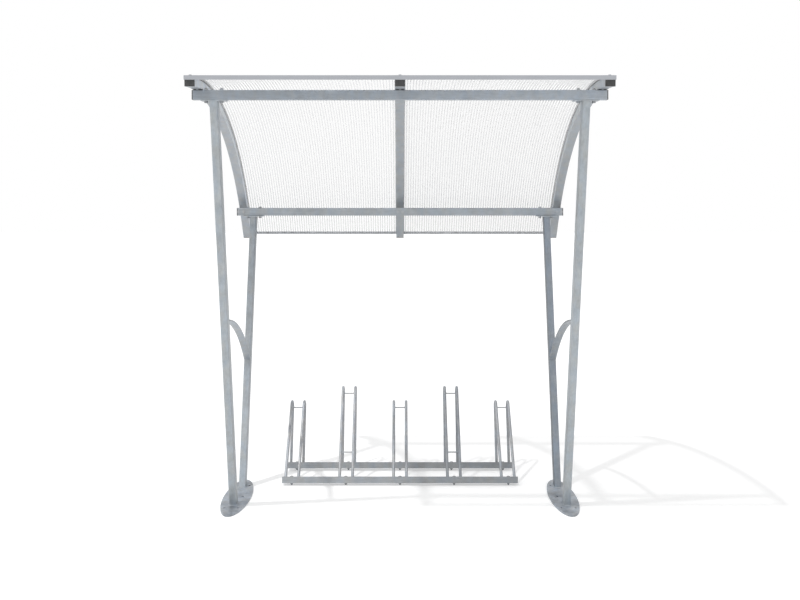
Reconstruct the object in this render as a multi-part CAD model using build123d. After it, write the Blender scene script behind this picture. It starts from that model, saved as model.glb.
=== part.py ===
from build123d import *
import os
from math import acos, atan2, cos, degrees, hypot, radians, sin, sqrt, tan

# Bicycle shelter with a curved roof and a rack for five wheels.
# X runs along the shelter, Y from its open front to its back and Z up, in millimetres.
# The origin is on the ground, under the middle of the roof.

# Beams: two square tubes that run the whole length of the shelter
BEAM_LENGTH = 2126.0
BEAM_SIZE = 50.0
BEAM_WALL = 3.0
FRONT_BEAM_Y = -668.5
FRONT_BEAM_UNDERSIDE = 2283.0
REAR_BEAM_Y = 610.5
REAR_BEAM_UNDERSIDE = 1646.0

# Corner radii of the beams' and posts' tubes, as multiples of their walls
CORNER_OUTSIDE = 1.5
CORNER_INSIDE = 0.5

# Side frames: two leaning posts on one oval foot plate, at each end of the shelter
POST_INSET = 104.0
POST_WIDTH = 40.0
POST_DEPTH = 60.0
POST_WALL = 3.0
FRONT_FOOT_Y = -118.0
REAR_FOOT_Y = 186.5
FRONT_POST_SET_BACK = 10.0
REAR_POST_SET_FORWARD = 10.0
HEAD_PLATE_LENGTH = 130.0
HEAD_PLATE_DEPTH = 66.0
HEAD_PLATE_THICKNESS = 5.0

# Foot plates: ovals with six anchor holes each
FOOT_PLATE_LENGTH = 608.0
FOOT_PLATE_WIDTH = 160.0
FOOT_PLATE_THICKNESS = 10.0
ANCHOR_HOLE_DIAMETER = 14.0
CORNER_ANCHOR_SPREAD_X = 80.0
CORNER_ANCHOR_SPREAD_Y = 380.0
MIDDLE_ANCHOR_SPREAD_X = 64.0

# Braces: flat bars bent on a radius between the two posts of a frame
BRACE_RADIUS = 1243.0
BRACE_WIDTH = 40.0
BRACE_THICKNESS = 8.0
BRACE_FRONT_HEIGHT = 1100.0
BRACE_REAR_HEIGHT = 756.0

# Rafters: three rectangular tubes rolled to the curve of the roof
RAFTER_INSET = 23.0
RAFTER_UNDERSIDE_RADIUS = 1833.0
RAFTER_WIDTH = 50.0
RAFTER_DEPTH = 40.0
RAFTER_WALL = 3.0
RAFTER_REAR_OVERHANG = 5.0
ROOF_DEPTH = 1735.0

# Seats of the rafters: pairs of shims on the front beam, brackets behind the rear beam
FRONT_PAD_THICKNESS = 3.0
FRONT_PAD_LENGTH = 50.0
FRONT_PAD_WIDTH = 13.0
FRONT_PAD_SPREAD = 25.0
REAR_STANDOFF = 52.0
BRACKET_PLATE = 5.0

# Roof skin: two sheets between rubber strips, with cover bars over the rafters
SHEET_THICKNESS = 10.0
SHEET_EDGE_INSET = 4.0
SHEET_JOINT = 10.0
GASKET_THICKNESS = 2.0
COVER_GASKET_WIDTH = 48.0
COVER_WIDTH = 60.0
COVER_THICKNESS = 4.0
COVER_END_GAP = 1.0

# Angles along the front and rear edges of the sheets
STRIP_OVERHANG = 5.0
EDGE_STRIP_THICKNESS = 3.0
FRONT_STRIP_FLANGE = 38.0
FRONT_STRIP_LIP = 22.0
REAR_STRIP_FLANGE = 10.0
REAR_STRIP_LIP = 14.0

# Plastic plugs in the open ends of the beams and rafters
PLUG_HEAD = 5.0
PLUG_DEPTH = 20.0
PLUG_CLEARANCE = 0.3

# Rack: two angle rails on levelling bolts, with five wheel holders
RAIL_LENGTH = 1448.0
RAIL_HEIGHT = 40.0
RAIL_WIDTH = 40.0
RAIL_WALL = 4.0
RAIL_ROOT_RADIUS = 5.0
RAIL_CLEARANCE = 16.0
RACK_FRONT_Y = 216.5
RAIL_SPACING = 289.5
HOLDER_COUNT = 5
HOLDER_PITCH = 333.5
HOOP_SPACING = 80.0
HOOP_TUBE_DIAMETER = 18.0
HOOP_TUBE_WALL = 2.0
HOOP_BEND_RADIUS = 34.0
HOOP_REAR_LEAN = 16.0
LOW_HOOP_FRONT_LEAN = 40.4
HIGH_HOOP_FRONT_LEAN = 36.8
HOLDER_ROD_DIAMETER = 7.0
HOLDER_ROD_DROP = 12.0
LOWER_ROD_HEIGHT = 168.0

# Levelling bolts of the rack
BOLT_DIAMETER = 10.0
BOLT_LENGTH = 46.0
BOLT_HOLE_CLEARANCE = 0.3
BOLT_HEAD_WIDTH = 17.0
BOLT_HEAD_HEIGHT = 6.4
NUT_HEIGHT = 8.0

POST_X = BEAM_LENGTH / 2 - POST_INSET
RAFTER_SPREAD = BEAM_LENGTH / 2 - RAFTER_INSET
EDGE_STRIP_LENGTH = BEAM_LENGTH + 2 * STRIP_OVERHANG
SIDES = {"left": -1, "right": 1}
RAFTERS = {"left": -RAFTER_SPREAD, "middle": 0.0, "right": RAFTER_SPREAD}

FRONT_BEAM_TOP = FRONT_BEAM_UNDERSIDE + BEAM_SIZE
REAR_BEAM_BACK = REAR_BEAM_Y + BEAM_SIZE / 2


def circle_centre(start, end, radius):
    """Centre of the arc from start to end that bulges up and to the rear, in Y and Z."""
    half_chord = hypot(end[0] - start[0], end[1] - start[1]) / 2
    across = ((end[0] - start[0]) / (2 * half_chord), (end[1] - start[1]) / (2 * half_chord))
    drop = sqrt(radius**2 - half_chord**2)
    middle = ((start[0] + end[0]) / 2, (start[1] + end[1]) / 2)
    return (middle[0] + across[1] * drop, middle[1] - across[0] * drop)


# The rafters' undersides pass over the front beam and behind the rear beam.
FRONT_SUPPORT = (FRONT_BEAM_Y, FRONT_BEAM_TOP + FRONT_PAD_THICKNESS)
REAR_SUPPORT = (REAR_BEAM_BACK + REAR_STANDOFF, REAR_BEAM_UNDERSIDE + BEAM_SIZE / 2)
ROOF_CENTRE = circle_centre(FRONT_SUPPORT, REAR_SUPPORT, RAFTER_UNDERSIDE_RADIUS)
ROOF_AXIS = Axis((0, *ROOF_CENTRE), (1, 0, 0))

# Radii of the layers of the roof, from the rafters out to the cover bars
RAFTER_TOP_RADIUS = RAFTER_UNDERSIDE_RADIUS + RAFTER_DEPTH
SHEET_BASE_RADIUS = RAFTER_TOP_RADIUS + GASKET_THICKNESS
SHEET_TOP_RADIUS = SHEET_BASE_RADIUS + SHEET_THICKNESS
STRIP_TOP_RADIUS = SHEET_TOP_RADIUS + EDGE_STRIP_THICKNESS
COVER_BASE_RADIUS = SHEET_TOP_RADIUS + GASKET_THICKNESS

# Polar angles about the roof's centre, from the +Y direction, at which the sheets end
FRONT_ANGLE = degrees(
    acos((-ROOF_DEPTH / 2 + EDGE_STRIP_THICKNESS - ROOF_CENTRE[0]) / STRIP_TOP_RADIUS)
)
REAR_ANGLE = degrees(
    acos((ROOF_DEPTH / 2 - EDGE_STRIP_THICKNESS - ROOF_CENTRE[0]) / STRIP_TOP_RADIUS)
)


def arc_angle(length, radius):
    """Angle in degrees of an arc of this length."""
    return degrees(length / radius)


def extrude_along_x(sketch, x, width):
    """Solid of a sketch drawn in Y and Z, centred on x."""
    return extrude(Plane.YZ.offset(x) * sketch, amount=width / 2, both=True)


def outline(points):
    """Flat face with straight sides through points in Y and Z."""
    return make_face(Polyline(*points, close=True))


def arc_band(centre, inner_radius, outer_radius, start, end):
    """Flat band between two radii and two polar angles."""
    inner = CenterArc(centre, inner_radius, start, end - start)
    outer = CenterArc(centre, outer_radius, start, end - start)
    return make_face(Curve() + [inner, outer, Line(inner @ 0, outer @ 0), Line(inner @ 1, outer @ 1)])


def roof_band(inner_radius, outer_radius, start, end):
    return arc_band(ROOF_CENTRE, inner_radius, outer_radius, start, end)


def rolled(section, x, radius, start, end):
    """Bar rolled about the roof's axis between two polar angles; its middle is at x and radius."""
    low, high = sorted((start, end))
    across, up = cos(radians(low)), sin(radians(low))
    origin = (x, ROOF_CENTRE[0] + radius * across, ROOF_CENTRE[1] + radius * up)
    plane = Plane(origin=origin, x_dir=(1, 0, 0), z_dir=(0, -up, across))
    return revolve(plane * section, axis=ROOF_AXIS, revolution_arc=high - low)


def tube_outside(width, depth, wall):
    """Outer outline of a tube with rounded corners."""
    return RectangleRounded(width, depth, CORNER_OUTSIDE * wall)


def tube_inside(width, depth, wall, clearance=0.0):
    """Outline of a tube's bore, or of what fits in the bore with a clearance."""
    inset = 2 * (wall + clearance)
    return RectangleRounded(width - inset, depth - inset, CORNER_INSIDE * wall - clearance)


def foot_plate(x):
    plate = extrude(Ellipse(FOOT_PLATE_WIDTH / 2, FOOT_PLATE_LENGTH / 2), FOOT_PLATE_THICKNESS)
    corner_holes = GridLocations(CORNER_ANCHOR_SPREAD_X, CORNER_ANCHOR_SPREAD_Y, 2, 2)
    middle_holes = GridLocations(MIDDLE_ANCHOR_SPREAD_X, 0, 2, 1)
    hole = extrude(Circle(ANCHOR_HOLE_DIAMETER / 2), FOOT_PLATE_THICKNESS)
    plate -= corner_holes * hole
    plate -= middle_holes * hole
    return Pos(x, 0, 0) * plate


class Post:
    """Rectangular tube that leans from the foot plate to the plate under a beam."""

    def __init__(self, foot_y, top_y, beam_underside):
        self.foot = (foot_y, FOOT_PLATE_THICKNESS)
        self.top = (top_y, beam_underside - HEAD_PLATE_THICKNESS)
        self.slope = (self.top[0] - self.foot[0]) / (self.top[1] - self.foot[1])
        self.lean = atan2(self.top[0] - self.foot[0], self.top[1] - self.foot[1])

    def face_y(self, height, offset):
        """Y at a height on the plane that lies offset behind the centre line."""
        return self.foot[0] + self.slope * (height - self.foot[1]) + offset / cos(self.lean)

    def bar(self, x, width, depth, corner):
        """Leaning bar with level ends and rounded long edges."""
        bottom, top = self.foot[1], self.top[1]
        side = outline(
            [
                (self.face_y(bottom, -depth / 2), bottom),
                (self.face_y(bottom, depth / 2), bottom),
                (self.face_y(top, depth / 2), top),
                (self.face_y(top, -depth / 2), top),
            ]
        )
        bar = extrude_along_x(side, x, width)
        lean_axis = Axis((0, 0, 0), (0, sin(self.lean), cos(self.lean)))
        return fillet(bar.edges().filter_by(lean_axis), corner)

    def solid(self, x):
        outside = self.bar(x, POST_WIDTH, POST_DEPTH, CORNER_OUTSIDE * POST_WALL)
        inner_width = POST_WIDTH - 2 * POST_WALL
        inner_depth = POST_DEPTH - 2 * POST_WALL
        return outside - self.bar(x, inner_width, inner_depth, CORNER_INSIDE * POST_WALL)

    def head_plate(self, x):
        plate = Box(HEAD_PLATE_LENGTH, HEAD_PLATE_DEPTH, HEAD_PLATE_THICKNESS)
        return Pos(x, self.top[0], self.top[1] + HEAD_PLATE_THICKNESS / 2) * plate


FRONT_POST = Post(FRONT_FOOT_Y, FRONT_BEAM_Y + FRONT_POST_SET_BACK, FRONT_BEAM_UNDERSIDE)
REAR_POST = Post(REAR_FOOT_Y, REAR_BEAM_Y - REAR_POST_SET_FORWARD, REAR_BEAM_UNDERSIDE)


def post_brace(x):
    """Curved flat bar from the back of the front post to the front of the rear post."""
    half_depth = POST_DEPTH / 2
    start = (FRONT_POST.face_y(BRACE_FRONT_HEIGHT, half_depth), BRACE_FRONT_HEIGHT)
    end = (REAR_POST.face_y(BRACE_REAR_HEIGHT, -half_depth), BRACE_REAR_HEIGHT)
    centre = circle_centre(start, end, BRACE_RADIUS)
    inner = BRACE_RADIUS - BRACE_THICKNESS / 2
    outer = BRACE_RADIUS + BRACE_THICKNESS / 2
    spare = arc_angle(2 * POST_DEPTH, BRACE_RADIUS)
    start_angle = degrees(atan2(start[1] - centre[1], start[0] - centre[0])) + spare
    end_angle = degrees(atan2(end[1] - centre[1], end[0] - centre[0])) - spare
    bar = extrude_along_x(arc_band(centre, inner, outer, start_angle, end_angle), x, BRACE_WIDTH)
    low, high = FOOT_PLATE_THICKNESS, REAR_BEAM_UNDERSIDE
    between_posts = outline(
        [
            (FRONT_POST.face_y(low, half_depth), low),
            (REAR_POST.face_y(low, -half_depth), low),
            (REAR_POST.face_y(high, -half_depth), high),
            (FRONT_POST.face_y(high, half_depth), high),
        ]
    )
    return bar & extrude_along_x(between_posts, x, BRACE_WIDTH)


def beam(y, underside):
    section = tube_outside(BEAM_SIZE, BEAM_SIZE, BEAM_WALL) - tube_inside(
        BEAM_SIZE, BEAM_SIZE, BEAM_WALL
    )
    return Pos(0, y, underside + BEAM_SIZE / 2) * extrude_along_x(section, 0, BEAM_LENGTH)


def beam_plug(side, y, underside):
    """Plug with a flat head and a block that fits inside the tube."""
    end = Plane.YZ.offset(BEAM_LENGTH / 2)
    head = extrude(end * tube_outside(BEAM_SIZE, BEAM_SIZE, BEAM_WALL), PLUG_HEAD)
    inside = tube_inside(BEAM_SIZE, BEAM_SIZE, BEAM_WALL, PLUG_CLEARANCE)
    plug = head + extrude(end * inside, -PLUG_DEPTH)
    if side < 0:
        plug = mirror(plug, about=Plane.YZ)
    return Pos(0, y, underside + BEAM_SIZE / 2) * plug


RAFTER_MIDDLE_RADIUS = RAFTER_UNDERSIDE_RADIUS + RAFTER_DEPTH / 2
PLUG_HEAD_ANGLE = arc_angle(PLUG_HEAD, RAFTER_UNDERSIDE_RADIUS)
PLUG_DEPTH_ANGLE = arc_angle(PLUG_DEPTH, RAFTER_UNDERSIDE_RADIUS)

# The rafters end with the sheets in front and run past them at the rear.
RAFTER_FRONT_ANGLE = FRONT_ANGLE
RAFTER_REAR_ANGLE = REAR_ANGLE - arc_angle(RAFTER_REAR_OVERHANG, RAFTER_UNDERSIDE_RADIUS)


def rafter(x):
    """Rolled tube from plug to plug."""
    bore = Rectangle(RAFTER_WIDTH - 2 * RAFTER_WALL, RAFTER_DEPTH - 2 * RAFTER_WALL)
    section = Rectangle(RAFTER_WIDTH, RAFTER_DEPTH) - bore
    start = RAFTER_REAR_ANGLE + PLUG_HEAD_ANGLE
    end = RAFTER_FRONT_ANGLE - PLUG_HEAD_ANGLE
    return rolled(section, x, RAFTER_MIDDLE_RADIUS, start, end)


def rafter_plug(x, rafter_end, inward):
    """Plug at one end of a rafter; inward is the sign of the angle that leads into the tube."""
    neck = rafter_end + inward * PLUG_HEAD_ANGLE
    tip = neck + inward * PLUG_DEPTH_ANGLE
    inset = 2 * (RAFTER_WALL + PLUG_CLEARANCE)
    outside = Rectangle(RAFTER_WIDTH, RAFTER_DEPTH)
    inside = Rectangle(RAFTER_WIDTH - inset, RAFTER_DEPTH - inset)
    head = rolled(outside, x, RAFTER_MIDDLE_RADIUS, rafter_end, neck)
    return head + rolled(inside, x, RAFTER_MIDDLE_RADIUS, neck, tip)


def under_the_rafter(y_low, y_high, z_low, z_high, x, width):
    """Block whose upper or rear side is cut to the curve of the rafters' undersides."""
    block = Box(width, y_high - y_low, z_high - z_low, align=(Align.CENTER, Align.MIN, Align.MIN))
    curve = extrude_along_x(Pos(*ROOF_CENTRE) * Circle(RAFTER_UNDERSIDE_RADIUS), x, width)
    return (Pos(x, y_low, z_low) * block) & curve


def front_pad(x):
    """Two shims between the front beam and a rafter, beside the bolt that joins them."""
    half = FRONT_PAD_LENGTH / 2
    above = FRONT_BEAM_TOP + 2 * FRONT_PAD_THICKNESS
    y_low, y_high = FRONT_BEAM_Y - half, FRONT_BEAM_Y + half
    shims = []
    for side in SIDES.values():
        shim_x = x + side * FRONT_PAD_SPREAD / 2
        shims.append(
            under_the_rafter(y_low, y_high, FRONT_BEAM_TOP, above, shim_x, FRONT_PAD_WIDTH)
        )
    return Compound(children=shims)


def rear_bracket(x):
    """Plate on the back of the rear beam with two cheeks welded to a rafter's underside."""
    bottom, top = REAR_BEAM_UNDERSIDE, REAR_BEAM_UNDERSIDE + BEAM_SIZE
    far = REAR_BEAM_BACK + REAR_STANDOFF + BEAM_SIZE
    plate_back = REAR_BEAM_BACK + BRACKET_PLATE
    bracket = under_the_rafter(REAR_BEAM_BACK, plate_back, bottom, top, x, RAFTER_WIDTH)
    for side in SIDES.values():
        cheek_x = x + side * (RAFTER_WIDTH - BRACKET_PLATE) / 2
        bracket += under_the_rafter(plate_back, far, bottom, top, cheek_x, BRACKET_PLATE)
    return bracket


def roof_sheet(side):
    inner_edge = SHEET_JOINT / 2
    outer_edge = RAFTER_SPREAD + RAFTER_WIDTH / 2 - SHEET_EDGE_INSET
    band = roof_band(SHEET_BASE_RADIUS, SHEET_TOP_RADIUS, FRONT_ANGLE, REAR_ANGLE)
    return extrude_along_x(band, side * (inner_edge + outer_edge) / 2, outer_edge - inner_edge)


COVER_FRONT_ANGLE = FRONT_ANGLE - arc_angle(FRONT_STRIP_FLANGE + COVER_END_GAP, SHEET_TOP_RADIUS)
COVER_REAR_ANGLE = REAR_ANGLE + arc_angle(REAR_STRIP_FLANGE + COVER_END_GAP, SHEET_TOP_RADIUS)


def rafter_gasket(x):
    """Rubber strip between a rafter and the sheets."""
    band = roof_band(RAFTER_TOP_RADIUS, SHEET_BASE_RADIUS, FRONT_ANGLE, REAR_ANGLE)
    return extrude_along_x(band, x, RAFTER_WIDTH)


def cover_gasket(x):
    """Rubber strip between the sheets and a cover bar."""
    band = roof_band(SHEET_TOP_RADIUS, COVER_BASE_RADIUS, COVER_FRONT_ANGLE, COVER_REAR_ANGLE)
    return extrude_along_x(band, x, COVER_GASKET_WIDTH)


def cover_bar(x):
    section = Rectangle(COVER_WIDTH, COVER_THICKNESS)
    radius = COVER_BASE_RADIUS + COVER_THICKNESS / 2
    return rolled(section, x, radius, COVER_FRONT_ANGLE, COVER_REAR_ANGLE)


def edge_strip(sheet_end, inward, flange_length, lip_length):
    """Angle that closes the end of the sheets: a flange on top and a lip over the end."""
    flange_end = sheet_end + inward * arc_angle(flange_length, SHEET_TOP_RADIUS)
    lip_face = sheet_end - inward * arc_angle(EDGE_STRIP_THICKNESS, SHEET_TOP_RADIUS)
    flange = roof_band(SHEET_TOP_RADIUS, STRIP_TOP_RADIUS, sheet_end, flange_end)
    lip = roof_band(STRIP_TOP_RADIUS - lip_length, STRIP_TOP_RADIUS, lip_face, sheet_end)
    return extrude_along_x(flange, 0, EDGE_STRIP_LENGTH) + extrude_along_x(
        lip, 0, EDGE_STRIP_LENGTH
    )


# The hoops and bolts stand in the middle of the free width of the rails' flat legs.
FLAT_TOP = RAIL_CLEARANCE + RAIL_WALL
RAIL_TOP = RAIL_CLEARANCE + RAIL_HEIGHT
RACK_REAR_Y = RACK_FRONT_Y + RAIL_SPACING
SEAT_OFFSET = (RAIL_WALL + RAIL_WIDTH) / 2
FRONT_SEAT_Y = RACK_FRONT_Y + SEAT_OFFSET
REAR_SEAT_Y = RACK_REAR_Y + SEAT_OFFSET
HOLDER_XS = [(place - (HOLDER_COUNT - 1) / 2) * HOLDER_PITCH for place in range(HOLDER_COUNT)]


def rack_rail(face_y):
    """Rolled angle with its upright leg in front and its flat leg at the bottom, to the rear."""
    section = outline(
        [
            (face_y, RAIL_CLEARANCE),
            (face_y + RAIL_WIDTH, RAIL_CLEARANCE),
            (face_y + RAIL_WIDTH, FLAT_TOP),
            (face_y + RAIL_WALL, FLAT_TOP),
            (face_y + RAIL_WALL, RAIL_TOP),
            (face_y, RAIL_TOP),
        ]
    )
    root = section.vertices().sort_by_distance((face_y + RAIL_WALL, FLAT_TOP, 0))[0]
    section = fillet(root, RAIL_ROOT_RADIUS)
    rail = extrude_along_x(section, 0, RAIL_LENGTH)
    hole = Cylinder(BOLT_DIAMETER / 2 + BOLT_HOLE_CLEARANCE, 2 * RAIL_WALL)
    for x in HOLDER_XS:
        rail -= Pos(x, face_y + SEAT_OFFSET, RAIL_CLEARANCE + RAIL_WALL / 2) * hole
    return rail


def levelling_bolt(x, y):
    """Hexagon bolt that stands on the ground, clamped to a flat leg by a nut on each side."""
    bottom_up = (Align.CENTER, Align.CENTER, Align.MIN)
    hexagon = RegularPolygon(BOLT_HEAD_WIDTH / 2, 6, major_radius=False)
    bolt = Cylinder(BOLT_DIAMETER / 2, BOLT_LENGTH, align=bottom_up)
    bolt += Pos(0, 0, BOLT_LENGTH) * extrude(hexagon, BOLT_HEAD_HEIGHT)
    for nut_bottom in (RAIL_CLEARANCE - NUT_HEIGHT, FLAT_TOP):
        bolt += Pos(0, 0, nut_bottom) * extrude(hexagon, NUT_HEIGHT)
    return Pos(x, y, 0) * bolt


def lean_point(foot_y, lean, distance):
    """Point on a leg that leans back from the rail's flat leg, at a distance along it."""
    return (foot_y + sin(radians(lean)) * distance, FLAT_TOP + cos(radians(lean)) * distance)


def hoop_corner(front_lean):
    """Where the centre lines of the two legs would meet, in Y and Z."""
    spread = REAR_SEAT_Y - FRONT_SEAT_Y
    apex_angle = radians(front_lean - HOOP_REAR_LEAN)
    return lean_point(FRONT_SEAT_Y, front_lean, spread * cos(radians(HOOP_REAR_LEAN)) / sin(apex_angle))


def hoop_bend_height(front_lean):
    """Height of the centre of the bend at the top of a hoop."""
    half_apex = radians(front_lean - HOOP_REAR_LEAN) / 2
    bisector = radians(front_lean + HOOP_REAR_LEAN) / 2
    return hoop_corner(front_lean)[1] - HOOP_BEND_RADIUS / sin(half_apex) * cos(bisector)


def hoop(x, front_lean):
    """Bent tube with both ends cut level on the rails."""
    sunk = -HOOP_TUBE_DIAMETER
    path = Plane.YZ.offset(x) * FilletPolyline(
        lean_point(FRONT_SEAT_Y, front_lean, sunk),
        hoop_corner(front_lean),
        lean_point(REAR_SEAT_Y, HOOP_REAR_LEAN, sunk),
        radius=HOOP_BEND_RADIUS,
    )
    section = Circle(HOOP_TUBE_DIAMETER / 2) - Circle(HOOP_TUBE_DIAMETER / 2 - HOOP_TUBE_WALL)
    start = Plane(origin=path @ 0, z_dir=path % 0)
    tube = sweep(start * section, path=path)
    below = Box(
        2 * HOOP_TUBE_DIAMETER,
        2 * RAIL_SPACING,
        RAIL_TOP,
        align=(Align.CENTER, Align.CENTER, Align.MAX),
    )
    return tube - Pos(x, (FRONT_SEAT_Y + REAR_SEAT_Y) / 2, FLAT_TOP) * below


def holder_rod(x, y, z):
    """Round bar between the two hoops of a holder."""
    length = HOOP_SPACING - HOOP_TUBE_DIAMETER + HOOP_TUBE_WALL
    return Pos(x, y, z) * Rot(0, 90, 0) * Cylinder(HOLDER_ROD_DIAMETER / 2, length)


def wheel_holder(x, high):
    """Two hoops joined by rods; a high holder has a second rod near its foot."""
    front_lean = HIGH_HOOP_FRONT_LEAN if high else LOW_HOOP_FRONT_LEAN
    rod_height = hoop_bend_height(front_lean) - HOLDER_ROD_DROP
    rod_y = REAR_SEAT_Y + tan(radians(HOOP_REAR_LEAN)) * (rod_height - FLAT_TOP)
    holder = holder_rod(x, rod_y, rod_height)
    for side in SIDES.values():
        holder += hoop(x + side * HOOP_SPACING / 2, front_lean)
    if high:
        rod_y = FRONT_SEAT_Y + tan(radians(front_lean)) * (LOWER_ROD_HEIGHT - FLAT_TOP)
        holder += holder_rod(x, rod_y, LOWER_ROD_HEIGHT)
    return holder


def build_parts():
    parts = {}
    for name, side in SIDES.items():
        x = side * POST_X
        parts[f"foot_plate_{name}"] = foot_plate(x)
        parts[f"front_post_{name}"] = FRONT_POST.solid(x)
        parts[f"rear_post_{name}"] = REAR_POST.solid(x)
        parts[f"front_head_plate_{name}"] = FRONT_POST.head_plate(x)
        parts[f"rear_head_plate_{name}"] = REAR_POST.head_plate(x)
        parts[f"post_brace_{name}"] = post_brace(x)
        parts[f"roof_sheet_{name}"] = roof_sheet(side)

    for name, y, underside in [
        ("front", FRONT_BEAM_Y, FRONT_BEAM_UNDERSIDE),
        ("rear", REAR_BEAM_Y, REAR_BEAM_UNDERSIDE),
    ]:
        parts[f"{name}_beam"] = beam(y, underside)
        plugs = [beam_plug(side, y, underside) for side in SIDES.values()]
        parts[f"{name}_beam_plugs"] = Compound(children=plugs)

    for name, x in RAFTERS.items():
        parts[f"rafter_{name}"] = rafter(x)
        parts[f"front_pad_{name}"] = front_pad(x)
        parts[f"rear_bracket_{name}"] = rear_bracket(x)
        parts[f"cover_bar_{name}"] = cover_bar(x)
    for name, gasket in [("rafter", rafter_gasket), ("cover", cover_gasket)]:
        strips = [gasket(x) for x in RAFTERS.values()]
        parts[f"{name}_gaskets"] = Compound(children=strips)

    # Inward from the front end of the roof polar angles fall; from the rear end they rise.
    for name, rafter_end, inward in [
        ("front", RAFTER_FRONT_ANGLE, -1),
        ("rear", RAFTER_REAR_ANGLE, 1),
    ]:
        plugs = [rafter_plug(x, rafter_end, inward) for x in RAFTERS.values()]
        parts[f"{name}_rafter_plugs"] = Compound(children=plugs)
    parts["front_edge_strip"] = edge_strip(FRONT_ANGLE, -1, FRONT_STRIP_FLANGE, FRONT_STRIP_LIP)
    parts["rear_edge_strip"] = edge_strip(REAR_ANGLE, 1, REAR_STRIP_FLANGE, REAR_STRIP_LIP)

    for name, face_y in [("front", RACK_FRONT_Y), ("rear", RACK_REAR_Y)]:
        parts[f"rack_{name}_rail"] = rack_rail(face_y)
        bolts = [levelling_bolt(x, face_y + SEAT_OFFSET) for x in HOLDER_XS]
        parts[f"rack_{name}_bolts"] = Compound(children=bolts)

    for place, x in enumerate(HOLDER_XS):
        parts[f"wheel_holder_{place + 1}"] = wheel_holder(x, high=place % 2 == 1)
    return parts


os.makedirs("parts", exist_ok=True)
for part_name, part in build_parts().items():
    export_step(part, f"parts/{part_name}.step")
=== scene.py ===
from math import cos, hypot, pi, radians, sin, tau

import bmesh
import bpy
import numpy as np
from mathutils import Matrix, Vector
from mathutils.geometry import convex_hull_2d


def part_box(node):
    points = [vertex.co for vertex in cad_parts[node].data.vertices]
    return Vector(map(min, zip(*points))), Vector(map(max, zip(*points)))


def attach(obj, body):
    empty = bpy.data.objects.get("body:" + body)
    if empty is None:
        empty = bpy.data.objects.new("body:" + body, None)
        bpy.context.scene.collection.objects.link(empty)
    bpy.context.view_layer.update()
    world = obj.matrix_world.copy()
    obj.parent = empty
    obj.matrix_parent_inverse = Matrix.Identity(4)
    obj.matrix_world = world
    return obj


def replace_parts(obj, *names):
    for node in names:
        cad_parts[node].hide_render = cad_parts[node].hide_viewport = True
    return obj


# Looks of the bicycle shelter. Metres, in the model's frame: X along the shelter, Y from its open
# front to its back, Z up, with the origin on the ground under the middle of the roof.

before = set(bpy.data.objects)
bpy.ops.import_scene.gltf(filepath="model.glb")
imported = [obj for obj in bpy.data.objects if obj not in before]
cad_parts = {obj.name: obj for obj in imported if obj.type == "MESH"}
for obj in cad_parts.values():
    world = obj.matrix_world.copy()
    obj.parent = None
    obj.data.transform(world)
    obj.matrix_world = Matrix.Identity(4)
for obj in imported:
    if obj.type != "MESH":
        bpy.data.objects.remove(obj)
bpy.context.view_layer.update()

# Camera: at a standing person's eye height in front of the shelter, level
CAMERA_PLACE = (0.0, -5.3065, 1.84)
LENS = 40.5
SENSOR = 36.0
HORIZON_SHIFT = -0.1425

# Light: an even white sky and one soft sun from the left, in front and above
SKY_LIGHT = 0.75
SUN_LIGHT = 1.28
SUN_WAY = (0.501, 0.306, -1.0)
SUN_SPREAD = radians(1.7)
FLOOR_SIZE = 60.0
FLOOR_ALBEDO = 0.8
FLOOR_GLOW = 0.325

# Clear layers that a line of sight may pass, rib after rib, along a roof sheet
CLEAR_LAYERS = 64

# Roof sheets: two skins, with ribs between them that run down the slope
RIB_PITCH = 0.01566
SKIN_THICKNESS = 0.0007
RIB_THICKNESS = 0.0009
RIB_FOOT_WIDTH = 0.0064
RIB_FOOT_THICKNESS = 0.0005
SHEET_STEPS = 56

# Bolts of the head plates and their beams, M10; the nuts are given as (nut, bolt end above it)
M10_HEAD = 0.017
M10_HEAD_HEIGHT = 0.0088
M10_WASHER = 0.020
M10_SHANK = 0.010
M10_NUTS = {"front": (0.008, 0.003), "rear": (0.006, 0.001)}
HEAD_BOLT_SPREAD = 0.040

# Bolts of the brackets, M8, and sleeves of the bolts between the shims
M8_HEAD = 0.013
M8_HEAD_HEIGHT = 0.0053
M8_WASHER = 0.018
BRACKET_BOLT_SPREAD = 0.016
PAD_SLEEVE = 0.0115

# Screws of the cover bars, spaced evenly between two turns about the roof's axis
COVER_SCREW_HEAD = 0.008
COVER_SCREW_HEIGHT = 0.0025
COVER_SCREW_WASHER = 0.014
COVER_SCREW_COUNT = 7
COVER_SCREW_REAR = radians(36.5)
COVER_SCREW_FRONT = radians(86.5)

# Screws of the edge strips: inset from the strip's outer edge, washer and head
FRONT_STRIP_SCREW = (0.022, 0.014, 0.0128)
REAR_STRIP_SCREW = (0.0055, 0.008, 0.0055)
STRIP_SCREW_SLIMNESS = 3  # a head's width over its height

# Fine shape of washers, hexagons and bolt ends
WASHER_THICKNESS = 0.002
SCREW_WASHER_THICKNESS = 0.001
WASHER_EDGE = 0.25
HEXAGON_CHAMFER = 0.12
HEXAGON_TOP = 0.9
BOLT_END_CHAMFER = 0.001
ROUND_SIDES = 28
SHANK_SIDES = 20

# Weld beads
FOOT_WELD_RADIUS = 0.0034
HEAD_WELD_RADIUS = 0.0025
HOOP_WELD_RADIUS = 0.0022
WELD_RIPPLE = 0.14
WELD_RIPPLE_PITCH = 0.004
WELD_STEP = 0.001
WELD_SIDES = 8
HOOP_WELD_POINTS = 40

# Distance from a level within which a corner belongs to a flat end there
END_DEPTH = 1e-4

# Fit of the axis that the roof is rolled about
FIT_PASSES = 4
FIT_CLOSENESS = 0.001
SHORTEST_CHORD = 1e-5
SIDEWAYS = 0.001

BODY = "root"
SIDES = ("left", "right")
ENDS = ("front", "rear")
RAFTERS = ("left", "middle", "right")
HOLDER_COUNT = 5

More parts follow.
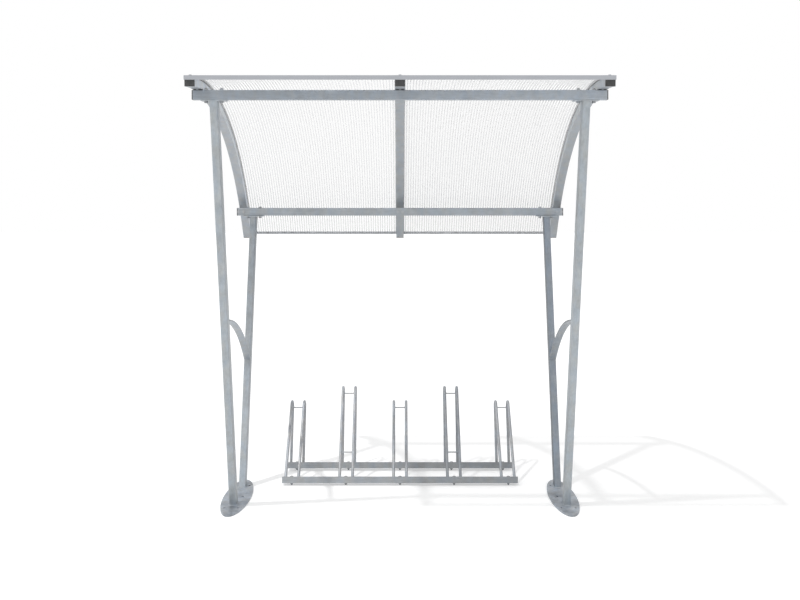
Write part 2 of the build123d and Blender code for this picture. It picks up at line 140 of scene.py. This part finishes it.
UP = Vector((0, 0, 1))
DOWNWARD = Matrix.Rotation(pi, 4, "X")
FORWARD = Matrix.Rotation(pi / 2, 4, "X")


def middle(node):
    low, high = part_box(node)
    return (low + high) / 2


def vertices(node):
    return np.array([v.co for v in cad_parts[node].data.vertices])


def flat_end(node, level):
    """Corners of a node's flat end at a height."""
    points = vertices(node)
    return points[np.abs(points[:, 2] - level) < END_DEPTH]


# The roof's curve


def roof_centre(node):
    """Y and Z of the axis that the roof is rolled about.

    The line from the axis to the middle of a chord of a rolled face is square to the chord. Chords
    of the flat ends ask for an axis further off, and are left out pass by pass.
    """
    points = vertices(node)[:, 1:]
    rows, sums = [], []
    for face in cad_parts[node].data.polygons:
        for i, j in face.edge_keys:
            a, b = points[i], points[j]
            if abs(face.normal.x) < SIDEWAYS and hypot(*(b - a)) > SHORTEST_CHORD:
                rows.append(b - a)
                sums.append((b @ b - a @ a) / 2)
    rows, sums = np.array(rows), np.array(sums)
    on_arc = np.ones(len(rows), bool)
    for _ in range(FIT_PASSES):
        centre = np.linalg.lstsq(rows[on_arc], sums[on_arc], rcond=None)[0]
        miss = np.abs(rows @ centre - sums) / np.hypot(rows[:, 0], rows[:, 1])
        on_arc = miss < max(FIT_CLOSENESS, np.median(miss))
    return centre


ROOF_CENTRE = roof_centre("roof_sheet_left")


class Arc:
    """Reach and ends of a node of the roof, about the roof's axis."""

    def __init__(self, node):
        points = vertices(node)[:, 1:] - ROOF_CENTRE
        reach = np.hypot(points[:, 0], points[:, 1])
        turn = np.arctan2(points[:, 1], points[:, 0])
        self.inner, self.outer = reach.min(), reach.max()
        self.rear, self.front = turn.min(), turn.max()


def roof_point(x, reach, turn):
    return Vector((x, ROOF_CENTRE[0] + reach * cos(turn), ROOF_CENTRE[1] + reach * sin(turn)))


def roof_place(x, reach, turn):
    """Matrix at a point of the roof whose Z axis points out of it."""
    return Matrix.Translation(roof_point(x, reach, turn)) @ Matrix.Rotation(turn - pi / 2, 4, "X")


# Meshes


def piece(name, bm, material):
    """New object of the model, on the shelter's one body."""
    bmesh.ops.recalc_face_normals(bm, faces=bm.faces)
    mesh = bpy.data.meshes.new(name)
    bm.to_mesh(mesh)
    bm.free()
    mesh.materials.append(material)
    thing = bpy.data.objects.new(name, mesh)
    bpy.context.scene.collection.objects.link(thing)
    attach(thing, BODY)
    return thing


def add_rings(bm, rings, closed=False, smooth=False):
    """Skin over rings of points with as many points each; open skins get flat ends."""
    made = [[bm.verts.new(point) for point in ring] for ring in rings]
    pairs = list(zip(made, made[1:]))
    if closed:
        pairs.append((made[-1], made[0]))
    for one, other in pairs:
        for i in range(len(one)):
            j = (i + 1) % len(one)
            face = bm.faces.new((one[i], one[j], other[j], other[i]))
            face.smooth = smooth
    if not closed:
        bm.faces.new(made[0])
        bm.faces.new(made[-1])


def circle(radius, count, height, place):
    return [
        place @ Vector((radius * cos(tau * i / count), radius * sin(tau * i / count), height))
        for i in range(count)
    ]


def add_turned(bm, place, profile, count):
    """Turned shape from (radius, height) points; a count of 6 gives a hexagon."""
    add_rings(bm, [circle(radius, count, height, place) for radius, height in profile])


def add_washer(bm, place, diameter, thickness):
    edge = WASHER_EDGE * thickness
    r = diameter / 2
    add_turned(bm, place, [(r, 0), (r, thickness - edge), (r - edge, thickness)], ROUND_SIDES)


def add_hexagon(bm, place, width, height):
    corner = width / 2 / cos(pi / 6)
    chamfer = HEXAGON_CHAMFER * height
    profile = [(corner, 0), (corner, height - chamfer), (HEXAGON_TOP * corner, height)]
    add_turned(bm, place, profile, 6)


def add_bolt_head(bm, place, washer, width, height):
    add_washer(bm, place, washer, WASHER_THICKNESS)
    add_hexagon(bm, place @ Matrix.Translation((0, 0, WASHER_THICKNESS)), width, height)


def add_bolt_end(bm, place, washer, width, height, shank, tail):
    """Washer, nut and the threaded end that stands out of it."""
    add_bolt_head(bm, place, washer, width, height)
    top = WASHER_THICKNESS + height + tail
    r = shank / 2
    profile = [(r, 0), (r, top - BOLT_END_CHAMFER), (r - BOLT_END_CHAMFER, top)]
    add_turned(bm, place, profile, SHANK_SIDES)


def add_screw(bm, place, washer, width, height):
    """Thin washer with a hexagon head over it."""
    add_washer(bm, place, washer, SCREW_WASHER_THICKNESS)
    add_hexagon(bm, place, width, height)


def add_bead(bm, path, radius):
    """Rippled weld bead along a closed level path."""
    points = [Vector(point) for point in path]
    rings = []
    travelled = 0.0
    for i, point in enumerate(points):
        before, after = points[i - 1], points[(i + 1) % len(points)]
        along = (after - before).normalized()
        side = along.cross(UP).normalized()
        up = side.cross(along)
        travelled += (point - before).length if i else 0.0
        swell = radius * (1 + WELD_RIPPLE * sin(tau * travelled / WELD_RIPPLE_PITCH))
        turns = [tau * k / WELD_SIDES for k in range(WELD_SIDES)]
        rings.append([point + swell * (side * cos(turn) + up * sin(turn)) for turn in turns])
    add_rings(bm, rings, closed=True, smooth=True)


def stepped(points):
    """Points along a closed path of straight sides, about a weld step apart."""
    out = []
    for start, end in zip(points, points[1:] + points[:1]):
        start, end = Vector(start), Vector(end)
        count = max(2, round((end - start).length / WELD_STEP))
        out += [start.lerp(end, i / count) for i in range(count)]
    return out


# Materials


class Shader:
    """Material with one Principled shader, and short ways to add nodes to it."""

    def __init__(self, name, **constants):
        self.material = bpy.data.materials.new(name)
        self.material.use_nodes = True
        self.tree = self.material.node_tree
        self.tree.nodes.clear()
        self.main = self.node("ShaderNodeBsdfPrincipled")
        output = self.node("ShaderNodeOutputMaterial")
        self.link(self.main.outputs["BSDF"], output.inputs["Surface"])
        for socket, value in constants.items():
            self.main.inputs[socket].default_value = value
        place = self.node("ShaderNodeTexCoord")
        self.coordinates, self.normal = place.outputs["Object"], place.outputs["Normal"]

    def node(self, kind, inputs=None, **settings):
        made = self.tree.nodes.new(kind)
        for key, value in settings.items():
            setattr(made, key, value)
        for key, value in (inputs or {}).items():
            if isinstance(value, bpy.types.NodeSocket):
                self.link(value, made.inputs[key])
            else:
                made.inputs[key].default_value = value
        return made

    def link(self, source, target):
        self.tree.links.new(source, target)

    def stretched(self, scale):
        """Object coordinates scaled by axis."""
        made = self.node("ShaderNodeMapping", {"Vector": self.coordinates, "Scale": scale})
        return made.outputs["Vector"]

    def part(self, vector, axis):
        """One axis of a vector."""
        return self.node("ShaderNodeSeparateXYZ", {"Vector": vector}).outputs[axis]

    def noise(self, scale, detail=3.0, roughness=0.5, where=None):
        inputs = {
            "Vector": where or self.coordinates,
            "Scale": scale,
            "Detail": detail,
            "Roughness": roughness,
        }
        return self.node("ShaderNodeTexNoise", inputs).outputs["Fac"]

    def crystals(self, scale):
        """Cells with a value of its own each, from 0 to 1."""
        inputs = {"Vector": self.coordinates, "Scale": scale, "Randomness": 1.0}
        cells = self.node("ShaderNodeTexVoronoi", inputs).outputs["Color"]
        return self.node("ShaderNodeSeparateColor", {"Color": cells}).outputs[0]

    def spread(self, value, low, high, to_low, to_high):
        """Value mapped from low..high to to_low..to_high, and held there."""
        inputs = {
            "Value": value,
            "From Min": low,
            "From Max": high,
            "To Min": to_low,
            "To Max": to_high,
        }
        return self.node("ShaderNodeMapRange", inputs).outputs["Result"]

    def maths(self, operation, a, b):
        return self.node("ShaderNodeMath", {0: a, 1: b}, operation=operation).outputs[0]

    def plus(self, a, b):
        return self.maths("ADD", a, b)

    def times(self, a, b):
        return self.maths("MULTIPLY", a, b)

    def mix(self, amount, a, b, blend="MIX"):
        """Colour mix; a and b are colours or sockets."""
        made = self.node("ShaderNodeMix", {"Factor": amount}, data_type="RGBA", blend_type=blend)
        for socket, value in ((made.inputs[6], a), (made.inputs[7], b)):
            if isinstance(value, bpy.types.NodeSocket):
                self.link(value, socket)
            else:
                socket.default_value = (*value[:3], 1.0)
        return made.outputs[2]

    def toned(self, colour, tone):
        """Colour made paler or darker by a tone round 1."""
        shade = self.node("ShaderNodeCombineColor", {0: tone, 1: tone, 2: tone}).outputs[0]
        return self.mix(1.0, colour, shade, "MULTIPLY")

    def finish(self, colour, roughness, height=None, strength=0.2, distance=0.001):
        self.link(colour, self.main.inputs["Base Color"])
        self.link(roughness, self.main.inputs["Roughness"])
        if height is not None:
            inputs = {"Height": height, "Strength": strength, "Distance": distance}
            bump = self.node("ShaderNodeBump", inputs)
            self.link(bump.outputs["Normal"], self.main.inputs["Normal"])
        return self.material


def grey(value):
    return (value, value, value)


def tinted(colour, tint):
    return tuple(v * k for v, k in zip(colour, tint))


X_AXIS, Z_AXIS = 0, 2
COOL_ZINC = (0.955, 0.99, 1.035)
PLAIN_ZINC = (1.02, 1.005, 0.985)


def galvanised(name, colour, contrast=1.0, along=None, drift=None, sides=None):
    """Matt zinc coat: crystal spangle, cloudy patches of cooler and plainer grey, fine grain.

    along is the axis of a bar, which faint runs of zinc follow. drift is an axis with two places
    on it and the tone at each, with a gradient between them. sides is painted light and shade: the
    tone of the faces that look along X, darker than the rest below 1 and paler above it.
    """
    shader = Shader(name, Metallic=0.45)
    crystal = shader.crystals(scale=95.0)
    clouds = shader.noise(scale=11.0, detail=5.0, roughness=0.6)
    ripple = shader.noise(scale=30.0, detail=2.0)
    grain = shader.noise(scale=650.0, detail=2.0)
    patches = shader.noise(scale=26.0, where=shader.stretched((1.0, 1.0, 0.45)))

    cloud_swing, crystal_swing = 0.10 * contrast, 0.045 * contrast
    tone = shader.spread(clouds, 0.3, 0.7, 1 - cloud_swing, 1 + cloud_swing)
    tone = shader.plus(tone, shader.spread(crystal, 0.0, 1.0, -crystal_swing, crystal_swing))
    tone = shader.plus(tone, shader.spread(ripple, 0.35, 0.65, -0.03, 0.03))
    if along is not None:
        scales = [0.05 if axis == along else 1.0 for axis in range(3)]
        runs = shader.noise(150.0, 2.0, 0.6, shader.stretched(scales))
        tone = shader.plus(tone, shader.spread(runs, 0.3, 0.7, -0.07, 0.07))
    if drift is not None:
        axis, low, high, tone_low, tone_high = drift
        place = shader.part(shader.coordinates, axis)
        tone = shader.times(tone, shader.spread(place, low, high, tone_low, tone_high))
    # Painted light and shade: faces that look along X are made paler or darker than the rest by
    # the tone sides.
    if sides is not None:
        painted_side_mask = shader.maths("ABSOLUTE", shader.part(shader.normal, X_AXIS), 0.0)
        tone = shader.times(tone, shader.spread(painted_side_mask, 0.5, 0.9, 1.0, sides))

    hue = shader.mix(
        shader.spread(patches, 0.38, 0.62, 0.0, 1.0),
        tinted(colour, COOL_ZINC),
        tinted(colour, PLAIN_ZINC),
    )
    rough = shader.plus(
        shader.spread(crystal, 0.0, 1.0, 0.40, 0.56),
        shader.spread(clouds, 0.3, 0.7, -0.04, 0.04),
    )
    height = shader.plus(shader.times(crystal, 0.35), grain)
    return shader.finish(shader.toned(hue, tone), rough, height, strength=0.16, distance=0.0004)


def aluminium(name, colour):
    """Mill finish: faint draw lines along the section and soft patches."""
    shader = Shader(name, Metallic=0.6)
    lines = shader.noise(scale=900.0, detail=2.0, where=shader.stretched((0.01, 1.0, 1.0)))
    patches = shader.noise(scale=9.0)
    tone = shader.plus(
        shader.spread(lines, 0.3, 0.7, 0.97, 1.03),
        shader.spread(patches, 0.3, 0.7, -0.03, 0.03),
    )
    rough = shader.spread(patches, 0.3, 0.7, 0.34, 0.46)
    return shader.finish(shader.toned(colour, tone), rough, lines, strength=0.08, distance=0.0003)


def moulded(name, dark, pale):
    """Plastic or rubber with a fine grain, paler where it is scuffed."""
    shader = Shader(name)
    scuffs = shader.noise(scale=60.0, detail=4.0, roughness=0.6)
    grain = shader.noise(scale=1400.0, detail=2.0)
    colour = shader.mix(shader.spread(scuffs, 0.4, 0.75, 0.0, 1.0), grey(dark), grey(pale))
    rough = shader.spread(scuffs, 0.3, 0.7, 0.42, 0.58)
    return shader.finish(colour, rough, grain, strength=0.25, distance=0.0002)


def clear_sheet(name, alpha):
    """Clear polycarbonate with a trace of haze and dust."""
    shader = Shader(name, Alpha=alpha, IOR=1.58)
    haze = shader.noise(scale=5.0, detail=4.0, roughness=0.6)
    colour = shader.mix(haze, (0.925, 0.925, 0.930), (0.980, 0.980, 0.980))
    rough = shader.spread(haze, 0.3, 0.7, 0.12, 0.3)
    return shader.finish(colour, rough)


# Tones of the bars, some differing at random from bar to bar; the side tones, the darker and paler
# copies and the gradients marked below are painted light and shade.
# Painted shade: the side faces of the posts are darker than their fronts.
POST_STEEL = galvanised(
    "galvanised_posts", (0.425, 0.455, 0.475), along=Z_AXIS, sides=0.88
)
# Painted shade: the rear left post darkens towards its top, and its side faces are darker than its
# front.
REAR_LEFT_STEEL = galvanised(
    "galvanised_rear_post_left_painted_shade",
    (0.425, 0.455, 0.480),
    along=Z_AXIS,
    drift=(Z_AXIS, 0.3, 1.3, 1.06, 0.72),
    sides=0.83,
)
# Painted shade: a darker copy of the post zinc for the rear right post, with side faces darker
# still.
SHADED_REAR_RIGHT_STEEL = galvanised(
    "galvanised_rear_post_right_painted_shade", (0.283, 0.314, 0.354), along=Z_AXIS, sides=0.52
)
# Painted shade: the braces' side faces are darker than the rest, and the right brace is a darker
# copy of the left one.
BRACE_STEEL = galvanised(
    "galvanised_brace_left", (0.420, 0.447, 0.470), along=Z_AXIS, sides=0.74
)
SHADED_BRACE_STEEL = galvanised(
    "galvanised_brace_right_painted_shade", (0.365, 0.390, 0.412), along=Z_AXIS, sides=0.58
)
# The front beam is lighter towards its right end.
FRONT_BEAM_STEEL = galvanised(
    "galvanised_front_beam",
    (0.343, 0.373, 0.406),
    along=X_AXIS,
    drift=(X_AXIS, -0.6, 1.0, 0.97, 1.19),
)
REAR_BEAM_STEEL = galvanised("galvanised_rear_beam", (0.377, 0.402, 0.427), along=X_AXIS)
HEAD_PLATE_STEEL = galvanised("galvanised_head_plates", (0.450, 0.475, 0.495))
# Painted light: the rafters' side faces are paler than their undersides, and the left rafter is a
# paler copy of the others.
RAFTER_STEEL = galvanised("galvanised_rafters", (0.405, 0.425, 0.442), sides=1.3)
LIT_RAFTER_STEEL = galvanised("galvanised_rafter_left_painted_light", (0.440, 0.460, 0.482), sides=1.42)
PLATE_STEEL = galvanised("galvanised_plates", (0.344, 0.367, 0.397), contrast=3.0)
# Painted light and shade: the rails are lighter at the left end and darker at the right.
RAIL_STEEL = galvanised(
    "galvanised_rails_painted_light_and_shade",
    (0.340, 0.354, 0.367),
    along=X_AXIS,
    drift=(X_AXIS, -0.6, 0.6, 1.18, 0.91),
)
HOOP_STEEL = galvanised("galvanised_hoops", (0.372, 0.385, 0.402), contrast=1.6)
# Painted light and shade: paler copies of the hoop zinc for holders 1 and 2, a darker copy for
# holder 4.
LIT_HOOP_STEEL = galvanised("galvanised_hoops_painted_light", (0.410, 0.418, 0.432), contrast=1.6)
SHADED_HOOP_STEEL = galvanised("galvanised_hoops_painted_shade", (0.290, 0.305, 0.324), contrast=1.6)
BOLT_STEEL = galvanised("galvanised_bolts", (0.430, 0.445, 0.460), contrast=0.6)
# Painted shade and light: the bolt heads under the head plates are a darker copy of the bolt zinc,
# the nuts on the beams a paler copy.
SHADED_HEAD_BOLT_STEEL = galvanised("galvanised_head_bolts_painted_shade", (0.350, 0.362, 0.374), contrast=0.6)
LIT_NUT_STEEL = galvanised("galvanised_nuts_painted_light", (0.490, 0.505, 0.520), contrast=0.6)
RACK_BOLT_STEEL = galvanised("galvanised_rack_bolts", (0.280, 0.290, 0.300), contrast=0.6)
WELD_STEEL = galvanised("galvanised_welds", (0.396, 0.425, 0.445), contrast=0.6)
BAR_ALUMINIUM = aluminium("mill_aluminium", (0.430, 0.445, 0.475))
# Painted light: the rear edge strip is a paler copy of the front strip's aluminium.
LIT_ALUMINIUM = aluminium("mill_aluminium_painted_light", (0.530, 0.545, 0.570))
COVER_ALUMINIUM = aluminium("coated_aluminium", (0.900, 0.905, 0.910))
RAFTER_PLASTIC = moulded("moulded_rafter_plugs", dark=0.038, pale=0.070)
BEAM_PLASTIC = moulded("moulded_beam_plugs", dark=0.085, pale=0.130)
# Painted shade: the shims are near black, standing in for the shaded gap between the front beam
# and the rafters.
SHIM_SHADE_PLASTIC = moulded("shims_painted_shade", dark=0.045, pale=0.085)
RAFTER_RUBBER = moulded("grey_rubber", dark=0.200, pale=0.260)
COVER_RUBBER = moulded("pale_rubber", dark=0.840, pale=0.900)
# The right sheet's skins and ribs are less clear than the left's, so that half reads darker.
SKINS = {
    "left": clear_sheet("clear_skins", alpha=0.015),
    "right": clear_sheet("denser_skins", alpha=0.035),
}
RIBS = {
    "left": clear_sheet("clear_ribs", alpha=0.235),
    "right": clear_sheet("denser_ribs", alpha=0.300),
}

# The first words of a node's name that match give its material.
NODE_MATERIALS = (
    ("front_post", POST_STEEL),
    ("rear_post_left", REAR_LEFT_STEEL),
    ("rear_post_right", SHADED_REAR_RIGHT_STEEL),
    ("post_brace_left", BRACE_STEEL),
    ("post_brace_right", SHADED_BRACE_STEEL),
    ("foot_plate", PLATE_STEEL),
    ("front_head_plate", HEAD_PLATE_STEEL),
    ("rear_head_plate", HEAD_PLATE_STEEL),
    ("front_beam_plugs", BEAM_PLASTIC),
    ("rear_beam_plugs", BEAM_PLASTIC),
    ("front_rafter_plugs", RAFTER_PLASTIC),
    ("rear_rafter_plugs", RAFTER_PLASTIC),
    ("front_pad", SHIM_SHADE_PLASTIC),
    ("rafter_gaskets", RAFTER_RUBBER),
    ("cover_gaskets", COVER_RUBBER),
    ("front_beam", FRONT_BEAM_STEEL),
    ("rear_beam", REAR_BEAM_STEEL),
    ("rear_bracket", RAFTER_STEEL),
    ("rafter_left", LIT_RAFTER_STEEL),
    ("rafter", RAFTER_STEEL),
    ("cover_bar", COVER_ALUMINIUM),
    ("front_edge_strip", BAR_ALUMINIUM),
    ("rear_edge_strip", LIT_ALUMINIUM),
    ("roof_sheet_left", SKINS["left"]),
    ("roof_sheet_right", SKINS["right"]),
    ("rack_front_bolts", RACK_BOLT_STEEL),
    ("rack_rear_bolts", RACK_BOLT_STEEL),
    ("rack", RAIL_STEEL),
    ("wheel_holder_1", LIT_HOOP_STEEL),
    ("wheel_holder_2", LIT_HOOP_STEEL),
    ("wheel_holder_4", SHADED_HOOP_STEEL),
    ("wheel_holder", HOOP_STEEL),
)


def dress_nodes():
    for name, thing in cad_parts.items():
        material = next(m for start, m in NODE_MATERIALS if name.startswith(start))
        thing.data.materials.clear()
        thing.data.materials.append(material)


# Roof sheets


def add_curved_bar(bm, arc, section):
    """Bar bent round the arc from end to end, with a section of (x, reach) points."""
    rings = []
    for i in range(SHEET_STEPS + 1):
        turn = arc.rear + (arc.front - arc.rear) * i / SHEET_STEPS
        rings.append([roof_point(x, reach, turn) for x, reach in section])
    add_rings(bm, rings)


def rectangle(x_low, x_high, low, high):
    return [(x_low, low), (x_high, low), (x_high, high), (x_low, high)]


def rib_section(x, low, high):
    """Web with a foot on each skin."""
    web, half = RIB_THICKNESS / 2, RIB_FOOT_WIDTH / 2
    inner, outer = low + RIB_FOOT_THICKNESS, high - RIB_FOOT_THICKNESS
    left = [(-half, low), (-web, inner), (-web, outer), (-half, high)]
    right = [(half, high), (web, outer), (web, inner), (half, low)]
    return [(x + dx, reach) for dx, reach in left + right]


def roof_sheet(side):
    node = f"roof_sheet_{side}"
    arc = Arc(node)
    low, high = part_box(node)
    core_low, core_high = arc.inner + SKIN_THICKNESS, arc.outer - SKIN_THICKNESS
    skins = bmesh.new()
    add_curved_bar(skins, arc, rectangle(low.x, high.x, arc.inner, core_low))
    add_curved_bar(skins, arc, rectangle(low.x, high.x, core_high, arc.outer))
    count = int((high.x - low.x - RIB_FOOT_WIDTH) / RIB_PITCH)
    start = (low.x + high.x - count * RIB_PITCH) / 2
    ribs = bmesh.new()
    for i in range(count + 1):
        add_curved_bar(ribs, arc, rib_section(start + i * RIB_PITCH, core_low, core_high))
    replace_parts(piece(f"roof_sheet_{side}_skins", skins, SKINS[side]), node)
    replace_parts(piece(f"roof_sheet_{side}_ribs", ribs, RIBS[side]), node)


# Bolts and screws


def head_bolts():
    """Two bolts up through the plate on each post and its beam, with nuts on the beam."""
    heads, nuts = bmesh.new(), bmesh.new()
    for end, (nut, tail) in M10_NUTS.items():
        y = middle(f"{end}_beam").y
        beam_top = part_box(f"{end}_beam")[1].z
        for side in SIDES:
            plate = f"{end}_head_plate_{side}"
            plate_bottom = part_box(plate)[0].z
            for offset in (-HEAD_BOLT_SPREAD, HEAD_BOLT_SPREAD):
                x = middle(plate).x + offset
                below = Matrix.Translation((x, y, plate_bottom)) @ DOWNWARD
                above = Matrix.Translation((x, y, beam_top))
                add_bolt_head(heads, below, M10_WASHER, M10_HEAD, M10_HEAD_HEIGHT)
                add_bolt_end(nuts, above, M10_WASHER, M10_HEAD, nut, M10_SHANK, tail)
    piece("head_bolts", heads, SHADED_HEAD_BOLT_STEEL)
    piece("head_nuts", nuts, LIT_NUT_STEEL)


def bracket_bolts():
    """Bolts through the rear beam into the plates behind it."""
    bm = bmesh.new()
    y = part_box("rear_beam")[0].y
    z = middle("rear_beam").z
    for name in RAFTERS:
        for offset in (-BRACKET_BOLT_SPREAD, BRACKET_BOLT_SPREAD):
            x = middle(f"rear_bracket_{name}").x + offset
            place = Matrix.Translation((x, y, z)) @ FORWARD
            add_bolt_head(bm, place, M8_WASHER, M8_HEAD, M8_HEAD_HEIGHT)
    piece("bracket_bolts", bm, BOLT_STEEL)


def pad_sleeves():
    """Sleeve of the bolt between the two shims under each rafter."""
    bm = bmesh.new()
    beam_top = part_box("front_beam")[1].z
    radius = PAD_SLEEVE / 2
    for name in RAFTERS:
        low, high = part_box(f"front_pad_{name}")
        place = Matrix.Translation(((low.x + high.x) / 2, low.y + radius, beam_top))
        add_turned(bm, place, [(radius, 0), (radius, high.z - beam_top)], ROUND_SIDES)
    piece("pad_sleeves", bm, BOLT_STEEL)


def roof_screws():
    """Screws with washers along the cover bars and through the edge strips."""
    bm = bmesh.new()
    front, rear = Arc("front_edge_strip"), Arc("rear_edge_strip")
    strips = (
        (front.outer, front.front - FRONT_STRIP_SCREW[0] / front.outer, FRONT_STRIP_SCREW),
        (rear.outer, rear.rear + REAR_STRIP_SCREW[0] / rear.outer, REAR_STRIP_SCREW),
    )
    step = (COVER_SCREW_FRONT - COVER_SCREW_REAR) / (COVER_SCREW_COUNT - 1)
    for name in RAFTERS:
        bar = f"cover_bar_{name}"
        x, reach = middle(bar).x, Arc(bar).outer
        for i in range(COVER_SCREW_COUNT):
            place = roof_place(x, reach, COVER_SCREW_REAR + i * step)
            add_screw(bm, place, COVER_SCREW_WASHER, COVER_SCREW_HEAD, COVER_SCREW_HEIGHT)
        for reach, turn, (_, washer, head) in strips:
            place = roof_place(x, reach, turn)
            add_screw(bm, place, washer, head, head / STRIP_SCREW_SLIMNESS)
    piece("roof_screws", bm, BOLT_STEEL)


# Welds


def outline_at(node, level):
    """Outer outline of a node at the height of one of its flat ends."""
    end = [Vector(point[:2]) for point in flat_end(node, level)]
    return [(*end[i], level) for i in convex_hull_2d(end)]


def post_welds():
    bm = bmesh.new()
    for side in SIDES:
        for end in ENDS:
            post = f"{end}_post_{side}"
            low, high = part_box(post)
            add_bead(bm, stepped(outline_at(post, low.z)), FOOT_WELD_RADIUS)
            add_bead(bm, stepped(outline_at(post, high.z)), HEAD_WELD_RADIUS)
    piece("post_welds", bm, WELD_STEEL)


def hoop_welds():
    """Ring of weld round each leg of the wheel holders, on the rails."""
    bm = bmesh.new()
    for number in range(1, HOLDER_COUNT + 1):
        node = f"wheel_holder_{number}"
        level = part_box(node)[0].z
        feet = flat_end(node, level)
        on_right = feet[:, 0] > middle(node).x
        at_back = feet[:, 1] > feet[:, 1].mean()
        for column in (~on_right, on_right):
            for row in (~at_back, at_back):
                leg = feet[column & row]
                low, high = leg.min(0), leg.max(0)
                (x, y, _), (rx, ry, _) = (low + high) / 2, (high - low) / 2
                turns = [tau * i / HOOP_WELD_POINTS for i in range(HOOP_WELD_POINTS)]
                ring = [(x + rx * cos(turn), y + ry * sin(turn), level) for turn in turns]
                add_bead(bm, ring, HOOP_WELD_RADIUS)
    piece("hoop_welds", bm, WELD_STEEL)


# Stage


def seen_directly(tree, amount, otherwise=0.0):
    """Socket that is amount for rays that show a thing to the eye, and otherwise for light."""
    path = tree.nodes.new("ShaderNodeLightPath")
    seen = path.outputs["Is Camera Ray"]
    for name in ("Is Glossy Ray", "Is Transmission Ray"):
        either = tree.nodes.new("ShaderNodeMath")
        either.operation = "MAXIMUM"
        tree.links.new(seen, either.inputs[0])
        tree.links.new(path.outputs[name], either.inputs[1])
        seen = either.outputs[0]
    scaled = tree.nodes.new("ShaderNodeMapRange")
    tree.links.new(seen, scaled.inputs["Value"])
    scaled.inputs["To Min"].default_value = otherwise
    scaled.inputs["To Max"].default_value = amount
    return scaled.outputs["Result"]


def floor():
    bm = bmesh.new()
    bmesh.ops.create_grid(bm, x_segments=1, y_segments=1, size=FLOOR_SIZE / 2)
    mesh = bpy.data.meshes.new("floor")
    bm.to_mesh(mesh)
    bm.free()
    thing = bpy.data.objects.new("floor", mesh)
    bpy.context.scene.collection.objects.link(thing)
    material = bpy.data.materials.new("studio_floor")
    material.use_nodes = True
    tree = material.node_tree
    tree.nodes.clear()
    diffuse = tree.nodes.new("ShaderNodeBsdfDiffuse")
    diffuse.inputs["Color"].default_value = (*grey(FLOOR_ALBEDO), 1.0)
    glow = tree.nodes.new("ShaderNodeEmission")
    tree.links.new(seen_directly(tree, FLOOR_GLOW), glow.inputs["Strength"])
    both = tree.nodes.new("ShaderNodeAddShader")
    tree.links.new(diffuse.outputs[0], both.inputs[0])
    tree.links.new(glow.outputs[0], both.inputs[1])
    output = tree.nodes.new("ShaderNodeOutputMaterial")
    tree.links.new(both.outputs[0], output.inputs["Surface"])
    mesh.materials.append(material)


def sky():
    world = bpy.data.worlds.new("studio")
    world.use_nodes = True
    tree = world.node_tree
    tree.nodes.clear()
    back = tree.nodes.new("ShaderNodeBackground")
    back.inputs["Color"].default_value = (1.0, 1.0, 1.0, 1.0)
    tree.links.new(seen_directly(tree, 1.0, SKY_LIGHT), back.inputs["Strength"])
    output = tree.nodes.new("ShaderNodeOutputWorld")
    tree.links.new(back.outputs[0], output.inputs["Surface"])
    bpy.context.scene.world = world


def sun():
    lamp = bpy.data.lights.new("sun", "SUN")
    lamp.energy = SUN_LIGHT
    lamp.angle = SUN_SPREAD
    thing = bpy.data.objects.new("sun", lamp)
    thing.rotation_mode = "QUATERNION"
    thing.rotation_quaternion = Vector(SUN_WAY).to_track_quat("-Z", "Y")
    bpy.context.scene.collection.objects.link(thing)


def camera():
    data = bpy.data.cameras.new("camera")
    data.lens = LENS
    data.sensor_width = SENSOR
    data.shift_y = HORIZON_SHIFT
    thing = bpy.data.objects.new("camera", data)
    thing.location = CAMERA_PLACE
    thing.rotation_euler = (pi / 2, 0.0, 0.0)
    bpy.context.scene.collection.objects.link(thing)
    bpy.context.scene.camera = thing


dress_nodes()
for side in SIDES:
    roof_sheet(side)
head_bolts()
bracket_bolts()
pad_sleeves()
roof_screws()
post_welds()
hoop_welds()
floor()
sky()
sun()
camera()

scene = bpy.context.scene
scene.view_settings.view_transform = "Standard"
scene.cycles.transparent_max_bounces = CLEAR_LAYERS
